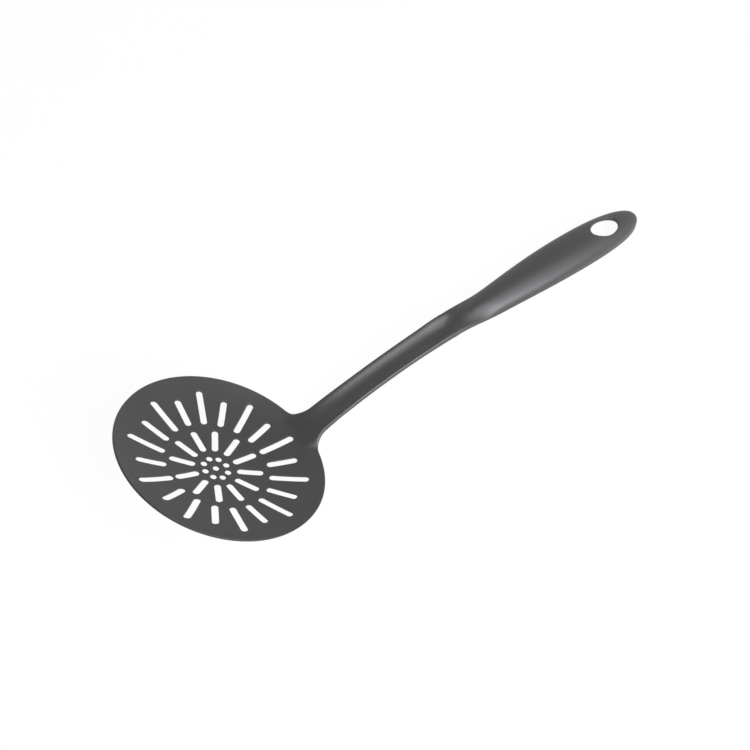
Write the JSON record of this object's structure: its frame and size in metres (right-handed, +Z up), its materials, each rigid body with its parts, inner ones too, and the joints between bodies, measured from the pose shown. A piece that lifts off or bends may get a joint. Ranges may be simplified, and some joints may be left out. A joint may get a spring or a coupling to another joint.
{
  "type": "skimmer",
  "caption": "Round dished skimmer with radial draining slots, a bent neck with a shallow trough and a crowned grip with an oval hang hole.",
  "frame": {"origin": "on the table under the middle of the skimmer's bounding box, as it lies on the blade root and the grip end", "axes": "+X along the handle from the blade to the grip end, +Y to the left when looking along +X, +Z up from the table"},
  "size_m": [0.3458, 0.115, 0.0617],
  "materials": {
    "nylon": "satin dark grey nylon",
    "grip_nylon": "finely grained dark grey nylon"
  },
  "bodies": {
    "root": {"strainer_head": "nylon", "grip_shell": "grip_nylon", "grip_back": "grip_nylon"}
  },
  "joints": []
}
